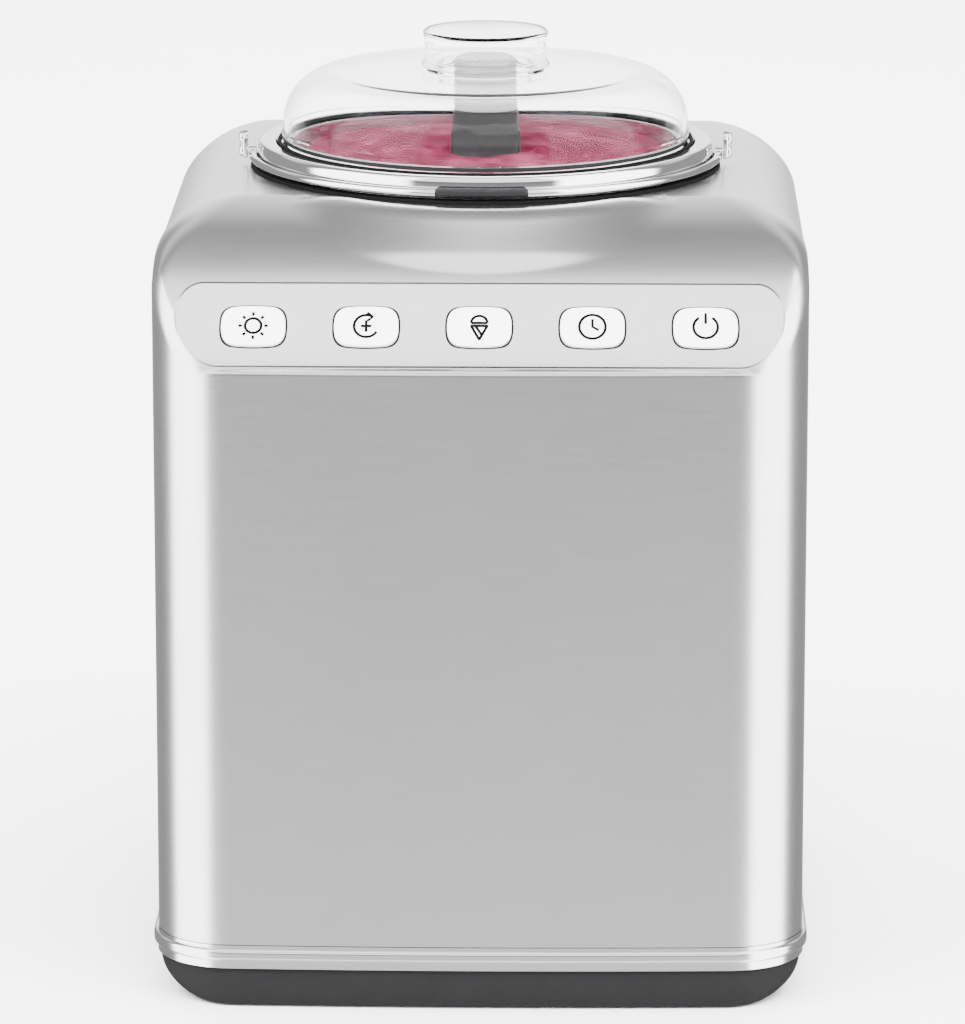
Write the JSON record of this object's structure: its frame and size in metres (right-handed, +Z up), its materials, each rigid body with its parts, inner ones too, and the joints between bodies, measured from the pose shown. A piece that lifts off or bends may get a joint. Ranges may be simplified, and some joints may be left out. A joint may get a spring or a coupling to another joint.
{
  "type": "ice cream maker",
  "caption": "Countertop ice cream maker: satin metal case with a tilted button strip, lift-out bowl under a clear domed lid, dasher, geared drive and a compressor cooling circuit inside.",
  "frame": {"origin": "on the surface that the machine stands on, under the middle of the case, on the bowl's vertical axis", "axes": "+Z up along the bowl's axis; +X to the right of someone facing the buttons; -Y towards the buttons, +Y towards the mains inlet"},
  "size_m": [0.266, 0.324, 0.375],
  "materials": {
    "satin_silver": "satin",
    "base_grey": "matte",
    "rear_grey": "matte",
    "rubber_black": "matte",
    "strip_grey": "satin",
    "button_white": "gloss",
    "black_plastic": "satin",
    "circuit_green": "satin",
    "zinc_steel": "satin",
    "cold_aluminium": "satin",
    "copper_tube": "satin",
    "foam_cream": "matte",
    "gear_white": "satin",
    "motor_steel": "satin",
    "compressor_black": "satin",
    "bowl_steel": "satin",
    "rim_chrome": "polished",
    "grip_grey": "satin",
    "lid_clear": "polished",
    "gasket_clear": "satin",
    "dasher_grey": "satin",
    "smoke_plastic": "gloss",
    "raspberry_ice": "satin"
  },
  "bodies": {
    "housing": {"body_shell": "satin_silver", "bead_trim": "satin_silver", "base_tray": "base_grey", "rear_panel": "rear_grey", "foot_front_left": "rubber_black", "foot_front_right": "rubber_black", "foot_rear_left": "rubber_black", "foot_rear_right": "rubber_black", "compressor_mounts": "rubber_black", "seat_ring": "rubber_black", "shaft_seal": "rubber_black", "control_strip": "strip_grey", "power_inlet": "black_plastic", "switch_frame": "black_plastic", "start_relay": "black_plastic", "button_switches": "black_plastic", "fan_shroud": "black_plastic", "fan_motor": "black_plastic", "control_board": "circuit_green", "power_board": "circuit_green", "chassis_plate": "zinc_steel", "rear_screws": "zinc_steel", "base_screws": "zinc_steel", "upper_bearing": "zinc_steel", "lower_bearing": "zinc_steel", "temperature_sensor": "zinc_steel", "well": "cold_aluminium", "condenser": "cold_aluminium", "evaporator_coil": "copper_tube", "drier": "copper_tube", "discharge_line": "copper_tube", "liquid_line": "copper_tube", "capillary_tube": "copper_tube", "suction_line": "copper_tube", "insulation": "foam_cream", "gearbox_housing": "gear_white", "gearbox_cover": "gear_white", "motor": "motor_steel", "compressor": "compressor_black"},
    "dasher": {"paddle": "dasher_grey", "paddle_cap": "smoke_plastic", "sorbet_batch": "raspberry_ice"},
    "drive": {"drive_shaft": "zinc_steel", "drive_gear": "gear_white"},
    "rotor": {"motor_pinion": "motor_steel"},
    "bowl": {"bowl": "bowl_steel", "rim_ring": "rim_chrome", "bail_pivots": "rim_chrome"},
    "bail": {"bail_handle": "rim_chrome", "bail_grip": "grip_grey"},
    "lid": {"lid": "lid_clear", "lid_gasket": "gasket_clear"},
    "filler_cap": {"filler_cap": "lid_clear"},
    "fan": {"fan": "black_plastic"},
    "rocker": {"rocker_switch": "black_plastic"},
    "button_1": {"button_1": "button_white"},
    "button_2": {"button_2": "button_white"},
    "button_3": {"button_3": "button_white"},
    "button_4": {"button_4": "button_white"},
    "button_5": {"button_5": "button_white"}
  },
  "joints": [
    {"name": "button_1_press", "type": "slide", "parent": "housing", "child": "button_1", "axis": [0, 0.7982, -0.6024], "range_m": [0, 0.0012], "stiffness_N_per_m": 500, "springref_m": -0.001},
    {"name": "button_2_press", "type": "slide", "parent": "housing", "child": "button_2", "axis": [0, 0.7982, -0.6024], "range_m": [0, 0.0012], "stiffness_N_per_m": 500, "springref_m": -0.001},
    {"name": "button_3_press", "type": "slide", "parent": "housing", "child": "button_3", "axis": [0, 0.7982, -0.6024], "range_m": [0, 0.0012], "stiffness_N_per_m": 500, "springref_m": -0.001},
    {"name": "button_4_press", "type": "slide", "parent": "housing", "child": "button_4", "axis": [0, 0.7982, -0.6024], "range_m": [0, 0.0012], "stiffness_N_per_m": 500, "springref_m": -0.001},
    {"name": "button_5_press", "type": "slide", "parent": "housing", "child": "button_5", "axis": [0, 0.7982, -0.6024], "range_m": [0, 0.0012], "stiffness_N_per_m": 500, "springref_m": -0.001},
    {"name": "rocker_tilt", "type": "hinge", "parent": "housing", "child": "rocker", "pos_m": [0.032, 0.155, 0.074], "axis": [1, 0, 0], "range_deg": [0, 12]},
    {"name": "fan_spin", "type": "hinge", "parent": "housing", "child": "fan", "pos_m": [0.0915, -0.055, 0.095], "axis": [1, 0, 0], "continuous": true},
    {"name": "bowl_lift", "type": "slide", "parent": "housing", "child": "bowl", "axis": [0, 0, 1], "range_m": [0, 0.16]},
    {"name": "dasher_spin", "type": "hinge", "parent": "bowl", "child": "dasher", "pos_m": [0, 0, 0.3], "axis": [0, 0, 1], "continuous": true},
    {"name": "drive_spin", "type": "hinge", "parent": "housing", "child": "drive", "pos_m": [0, 0, 0.2], "axis": [0, 0, 1], "continuous": true},
    {"name": "motor_spin", "type": "hinge", "parent": "housing", "child": "rotor", "pos_m": [0.0375, 0, 0.17], "axis": [0, 0, 1], "continuous": true},
    {"name": "bail_swing", "type": "hinge", "parent": "bowl", "child": "bail", "pos_m": [0, 0, 0.3232], "axis": [-1, 0, 0], "range_deg": [0, 180]},
    {"name": "lid_lift", "type": "slide", "parent": "bowl", "child": "lid", "axis": [0, 0, 1], "range_m": [0, 0.1]},
    {"name": "cap_lift", "type": "slide", "parent": "lid", "child": "filler_cap", "axis": [0, 0, 1], "range_m": [0, 0.04]}
  ],
  "couplings": [
    {"joint": "drive_spin", "follows": "dasher_spin", "ratio": 1},
    {"joint": "motor_spin", "follows": "dasher_spin", "ratio": -4}
  ]
}
